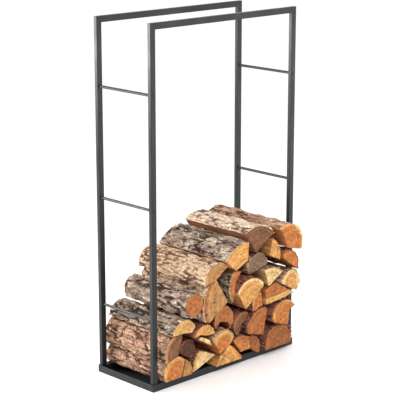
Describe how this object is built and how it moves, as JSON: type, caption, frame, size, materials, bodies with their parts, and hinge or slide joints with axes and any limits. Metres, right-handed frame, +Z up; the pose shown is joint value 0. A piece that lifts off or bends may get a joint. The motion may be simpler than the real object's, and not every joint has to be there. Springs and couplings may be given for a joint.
{
  "type": "firewood log rack",
  "caption": "Tall open firewood rack of black steel tube on a shallow tray, with rungs at both sides and split logs stacked in its lower half.",
  "frame": {"origin": "middle of the tray underside, on the floor", "axes": "+X to the right as seen from the front, +Y to the rear, +Z up"},
  "size_m": [0.84, 0.443, 1.5],
  "materials": {
    "powder_coat": "satin anthracite powder coat with a fine texture",
    "black_screw": "black zinc plated steel",
    "zinc_steel": "bright zinc plated steel",
    "heartwood_orange": "fresh split orange heartwood with rough brown bark",
    "sapwood_pale": "fresh split pale yellow wood with rough brown bark",
    "weathered_brown": "dull weathered brown wood with rough grey-brown bark"
  },
  "bodies": {
    "rack": {"tray": "powder_coat", "front_left_post": "powder_coat", "front_right_post": "powder_coat", "front_top_bar": "powder_coat", "front_bottom_bar": "powder_coat", "rear_left_post": "powder_coat", "rear_right_post": "powder_coat", "rear_top_bar": "powder_coat", "rear_bottom_bar": "powder_coat", "left_rung_low": "powder_coat", "left_rung_middle": "powder_coat", "left_rung_high": "powder_coat", "right_rung_low": "powder_coat", "right_rung_middle": "powder_coat", "right_rung_high": "powder_coat", "rung_screws": "black_screw", "base_screws": "zinc_steel", "base_nuts": "zinc_steel", "log_01": "heartwood_orange", "log_02": "sapwood_pale", "log_03": "sapwood_pale", "log_04": "heartwood_orange", "log_05": "heartwood_orange", "log_06": "sapwood_pale", "log_07": "heartwood_orange", "log_08": "weathered_brown", "log_10": "heartwood_orange", "log_11": "sapwood_pale", "log_12": "heartwood_orange", "log_13": "heartwood_orange", "log_14": "weathered_brown", "log_15": "heartwood_orange", "log_16": "heartwood_orange", "log_18": "weathered_brown", "log_19": "heartwood_orange", "log_20": "sapwood_pale", "log_21": "heartwood_orange", "log_22": "sapwood_pale", "log_23": "sapwood_pale", "log_24": "sapwood_pale", "log_27": "weathered_brown", "log_28": "heartwood_orange", "log_29": "heartwood_orange", "log_32": "weathered_brown"},
    "loose_log_09": {"log_09": "sapwood_pale"},
    "loose_log_17": {"log_17": "heartwood_orange"},
    "loose_log_25": {"log_25": "weathered_brown"},
    "loose_log_26": {"log_26": "heartwood_orange"},
    "loose_log_30": {"log_30": "weathered_brown"},
    "loose_log_31": {"log_31": "heartwood_orange"}
  },
  "joints": [
    {"name": "draw_log_09", "type": "slide", "parent": "rack", "child": "loose_log_09", "axis": [0, -1, 0], "range_m": [0, 0.18]},
    {"name": "draw_log_17", "type": "slide", "parent": "rack", "child": "loose_log_17", "axis": [0, -1, 0], "range_m": [0, 0.18]},
    {"name": "draw_log_25", "type": "slide", "parent": "rack", "child": "loose_log_25", "axis": [0, -1, 0], "range_m": [0, 0.18]},
    {"name": "draw_log_26", "type": "slide", "parent": "rack", "child": "loose_log_26", "axis": [0, -1, 0], "range_m": [0, 0.18]},
    {"name": "draw_log_30", "type": "slide", "parent": "rack", "child": "loose_log_30", "axis": [0, -1, 0], "range_m": [0, 0.18]},
    {"name": "draw_log_31", "type": "slide", "parent": "rack", "child": "loose_log_31", "axis": [0, -1, 0], "range_m": [0, 0.18]}
  ]
}
